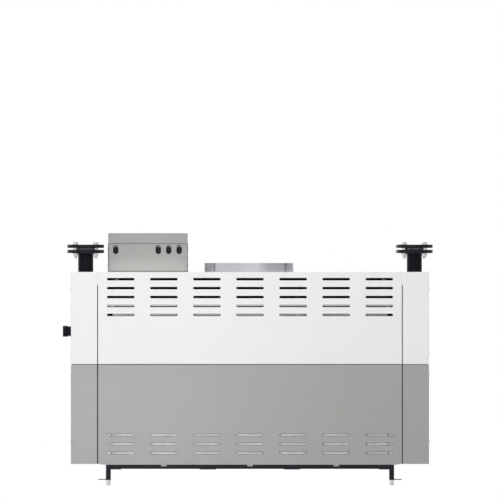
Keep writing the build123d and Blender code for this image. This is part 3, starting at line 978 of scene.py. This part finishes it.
# Finned tubes on the exchanger, seen down the flue
def fin(bm, x, y, base):
    """One round fin, as far as it stands above the casing's top."""
    centre_z = base - tube_drop
    half_angle = math.acos(tube_drop / fin_radius)
    rings = []
    for face in (x, x + fin_thickness):
        ring = []
        for step in range(fin_steps + 1):
            angle = -half_angle + 2 * half_angle * step / fin_steps
            ring.append((face, y + fin_radius * math.sin(angle), centre_z + fin_radius * math.cos(angle)))
        rings.append(ring)
    skin(bm, Matrix.Identity(4), rings)


def finned_tubes(bm):
    """A row of tubes with fins, sunk in the top of the exchanger casing."""
    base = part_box("exchanger_casing")[1].z
    rows = int(2 * fin_field / tube_pitch)
    fins = int(2 * fin_field / fin_pitch)
    for row in range(rows):
        y = (row - (rows - 1) / 2) * tube_pitch
        place = placed((-fin_field, y, base - tube_drop), (1, 0, 0))
        turned(bm, place, [(tube_radius, 0), (tube_radius, 2 * fin_field)], points=small_circle_points)
        for step in range(fins):
            fin(bm, -fin_field + (step + 0.5) * fin_pitch, y, base)


new_piece("finned_tubes", finned_tubes, materials["stainless_steel"])


# Stays under the cover, with their bolts
def stay_front():
    """Front face of the front stays."""
    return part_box("front_upper_panel")[0].y + stay_inset


def cover_stays(bm):
    """A strip from the exchanger rim up to the cover, with a foot and a head, at each corner."""
    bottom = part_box("exchanger_rim")[1].z
    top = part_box("top_cover")[0].z
    front = stay_front()
    for side in (-1, 1):
        for face in (1, -1):
            low_x = side * stay_centre - stay_width / 2
            high_x = side * stay_centre + stay_width / 2
            sheets = (
                (front, front + stay_thickness, bottom, top),
                (front, front + stay_foot, bottom, bottom + stay_thickness),
                (front, front + stay_foot, top - stay_thickness, top),
            )
            for y0, y1, z0, z1 in sheets:
                block(bm, (low_x, min(face * y0, face * y1), z0), (high_x, max(face * y0, face * y1), z1))


def stay_bolts(bm):
    """A bolt head on its washer, in each stay."""
    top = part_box("top_cover")[0].z
    front = stay_front()
    for side in (-1, 1):
        for face in (1, -1):
            place = placed((side * stay_centre, face * front, top - stay_bolt_drop), (0, -face, 0))
            washer(bm, place, stay_washer_hole, stay_washer_radius, stay_washer_thickness)
            head = place @ Matrix.Translation((0, 0, stay_washer_thickness))
            hexagon(bm, head, stay_bolt_across, stay_bolt_height)


new_piece("cover_stays", cover_stays, materials["frame_black"])
# Painted shade: the stay bolts take the dark copy of the zinc plate.
new_piece("stay_bolts", stay_bolts, materials["shaded_zinc"])


# Clips, nuts and strips of painted shade under the exchanger rim
def rim_clips(bm):
    """Clips that hang from the rim's corners."""
    low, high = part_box("exchanger_rim")
    for side in (-1, 1):
        for face in (-1, 1):
            x0, x1 = sorted((side * clip_inner, side * clip_outer))
            y0, y1 = sorted(face * (high.y - inset) for inset in clip_insets)
            block(bm, (x0, y0, low.z - clip_drop), (x1, y1, low.z), clip_edge)


def rim_nuts(bm):
    """Nuts under the rim, beside the clips."""
    low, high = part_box("exchanger_rim")
    for side in (-1, 1):
        for face in (-1, 1):
            y = face * (high.y - clip_nut_inset)
            place = placed((side * clip_nut_centre, y, low.z), downward)
            hexagon(bm, place, clip_nut_across, clip_nut_height)


def rim_shade_strips(bm):
    """A dark strip under the rim, on the front and the rear of the exchanger casing, painted shade where
    the rim overhangs.
    """
    rim_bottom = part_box("exchanger_rim")[0].z
    casing_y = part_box("exchanger_casing")[1].y
    for face in (-1, 1):
        y0, y1 = sorted((face * casing_y, face * (casing_y + rim_shade_thickness)))
        block(bm, (-rim_shade_end, y0, rim_bottom - rim_shade_drop), (rim_shade_end, y1, rim_bottom), rim_shade_edge)


new_piece("rim_shade_strips", rim_shade_strips, materials["rim_shade_sheet"])
new_piece("rim_clips", rim_clips, materials["galvanised_sheet"])
new_piece("rim_nuts", rim_nuts, materials["frame_black"])


# Camera
camera_data = bpy.data.cameras.new("photo_camera")
camera_data.type = "ORTHO"
camera_data.ortho_scale = photo_size * metres_per_pixel
camera = bpy.data.objects.new("photo_camera", camera_data)
camera.location = (0.0, -camera_distance, (floor_row - photo_size / 2) * metres_per_pixel)
camera.rotation_euler = (math.radians(90), 0.0, 0.0)
bpy.context.scene.collection.objects.link(camera)
bpy.context.scene.camera = camera
bpy.context.scene.view_settings.view_transform = "Standard"


# Studio
def make_floor():
    """A pale floor that turns to plain white far out, and is clear from below."""
    material, tree, shader = new_material("studio_floor")
    where = add(tree, "ShaderNodeTexCoord").outputs["Object"]
    away = add(tree, "ShaderNodeVectorMath", {0: where}, operation="LENGTH").outputs["Value"]
    fade = spread(tree, away, 0.0, 1.0, start=floor_clear_radius, end=floor_white_radius)
    shader.inputs["Roughness"].default_value = 0.9
    shader.inputs["Specular IOR Level"].default_value = 0.1
    path = add(tree, "ShaderNodeLightPath")
    plain = between(tree, path.outputs["Is Diffuse Ray"], (floor_colour,) * 3, (floor_bounce_colour,) * 3)
    tree.links.new(plain, shader.inputs["Base Color"])
    seen = path.outputs["Is Camera Ray"]
    share = add(tree, "ShaderNodeMath", {0: fade, 1: seen}, operation="MULTIPLY").outputs["Value"]
    white = add(tree, "ShaderNodeEmission", {"Color": (1, 1, 1, 1), "Strength": background_white})
    mixed = add(tree, "ShaderNodeMixShader", {
        0: share, 1: shader.outputs["BSDF"], 2: white.outputs["Emission"],
    })
    below = add(tree, "ShaderNodeNewGeometry").outputs["Backfacing"]
    unseen = add(tree, "ShaderNodeMath", {0: below, 1: seen}, operation="MULTIPLY").outputs["Value"]
    clear = add(tree, "ShaderNodeBsdfTransparent").outputs["BSDF"]
    whole = add(tree, "ShaderNodeMixShader", {0: unseen, 1: mixed.outputs["Shader"], 2: clear})
    tree.links.new(whole.outputs["Shader"], tree.nodes["Material Output"].inputs["Surface"])
    bm = bmesh.new()
    bmesh.ops.create_circle(bm, cap_ends=True, radius=floor_radius, segments=96)
    mesh = bpy.data.meshes.new("studio_floor")
    bm.to_mesh(mesh)
    bm.free()
    mesh.materials.append(material)
    floor = bpy.data.objects.new("studio_floor", mesh)
    bpy.context.scene.collection.objects.link(floor)


def around(tree):
    """Brightness of the surroundings in a ray's direction."""
    toward = add(tree, "ShaderNodeTexCoord").outputs["Generated"]
    axes = add(tree, "ShaderNodeSeparateXYZ", {"Vector": toward})
    front = add(tree, "ShaderNodeMath", {0: axes.outputs["Y"], 1: -1.0}, operation="MULTIPLY")
    angle = add(tree, "ShaderNodeMath", {
        0: axes.outputs["X"], 1: front.outputs["Value"],
    }, operation="ARCTAN2").outputs["Value"]
    share = spread(tree, angle, 0.0, 1.0, start=-math.pi, end=math.pi)
    ramp = add(tree, "ShaderNodeValToRGB", {"Fac": share})
    stops = ramp.color_ramp.elements
    while len(stops) < len(surroundings):
        stops.new(0.5)
    for stop, (degrees, level) in zip(stops, surroundings):
        stop.position = degrees / 360 + 0.5
        stop.color = (level, level, level, 1.0)
    overhead = spread(tree, axes.outputs["Z"], 0.0, 1.0, start=0.45, end=0.80)
    return between(tree, overhead, ramp.outputs["Color"], (1.0, 1.0, 1.0))


def make_screen():
    """The bright white screen behind the object, which only gloss sees."""
    material, tree, _ = new_material("studio_screen")
    glow = add(tree, "ShaderNodeEmission", {"Color": (1, 1, 1, 1), "Strength": screen_level})
    tree.links.new(glow.outputs["Emission"], tree.nodes["Material Output"].inputs["Surface"])
    bm = bmesh.new()
    half = screen_width / 2
    corners = ((half, 0), (-half, 0), (-half, screen_height), (half, screen_height))
    bm.faces.new([bm.verts.new((x, screen_distance, z)) for x, z in corners])
    mesh = bpy.data.meshes.new("studio_screen")
    bm.to_mesh(mesh)
    bm.free()
    mesh.materials.append(material)
    screen = bpy.data.objects.new("studio_screen", mesh)
    bpy.context.scene.collection.objects.link(screen)
    screen.visible_camera = False
    screen.visible_diffuse = False
    screen.visible_transmission = False
    screen.visible_shadow = False


def make_world():
    """White for the camera, graded surroundings for gloss and a plain level that lights the paint."""
    world = bpy.data.worlds.new("studio")
    world.use_nodes = True
    bpy.context.scene.world = world
    tree = world.node_tree
    path = add(tree, "ShaderNodeLightPath")
    white = (background_white,) * 3
    direct = add(tree, "ShaderNodeMath", {
        0: path.outputs["Is Camera Ray"], 1: path.outputs["Is Transmission Ray"],
    }, operation="MAXIMUM").outputs["Value"]
    seen = between(tree, path.outputs["Is Glossy Ray"], (ambient_level,) * 3, around(tree))
    seen = between(tree, direct, seen, white)
    tree.links.new(seen, tree.nodes["Background"].inputs["Color"])
    tree.nodes["Background"].inputs["Strength"].default_value = 1.0


def softbox(name, place, aim, size, watts, in_gloss=False):
    """A soft lamp that the camera doesn't see, and gloss only where asked."""
    data = bpy.data.lights.new(name, "AREA")
    data.shape = "RECTANGLE"
    data.size, data.size_y = size
    data.energy = watts
    lamp = bpy.data.objects.new(name, data)
    lamp.location = place
    direction = Vector(aim) - Vector(place)
    lamp.rotation_euler = direction.to_track_quat("-Z", "Y").to_euler()
    lamp.visible_camera = False
    lamp.visible_glossy = in_gloss
    bpy.context.scene.collection.objects.link(lamp)


def cover_bounce():
    """A strip of light that faces up, just above the cover in front of the control box."""
    low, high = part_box("control_box_body")
    cover_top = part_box("top_cover")[1].z
    place = Vector((
        (low.x + high.x) / 2,
        low.y - bounce_lamp_depth / 2 - bounce_lamp_gap,
        cover_top + bounce_lamp_height,
    ))
    size = (high.x - low.x, bounce_lamp_depth)
    softbox("cover_bounce", place, aim=place + Vector(upward), size=size, watts=bounce_lamp_watts)


make_floor()
make_world()
make_screen()
softbox("key", place=(-1.4, -4.2, 2.0), aim=(0.0, 0.0, 0.7), size=(1.9, 1.7), watts=54.5)
softbox(
    "low_key", place=(-0.80, -3.0, 0.30), aim=(-0.3, 0.0, 0.35), size=(1.7, 0.7), watts=13.0, in_gloss=True,
)
softbox("right_fill", place=(4.2, -3.4, 1.9), aim=(0.4, 0.0, 0.7), size=(2.0, 2.0), watts=46.0)
softbox("left_rim", place=(-4.6, 1.6, 1.6), aim=(0.0, 0.0, 0.8), size=(1.6, 2.4), watts=40.0)
softbox("rear_fill", place=(2.0, 4.0, 2.0), aim=(0.0, 0.0, 0.7), size=(2.4, 2.0), watts=75.0)
softbox("top", place=(0.0, -1.0, 4.2), aim=(0.0, 0.0, 0.6), size=(3.4, 2.4), watts=54.0)
cover_bounce()
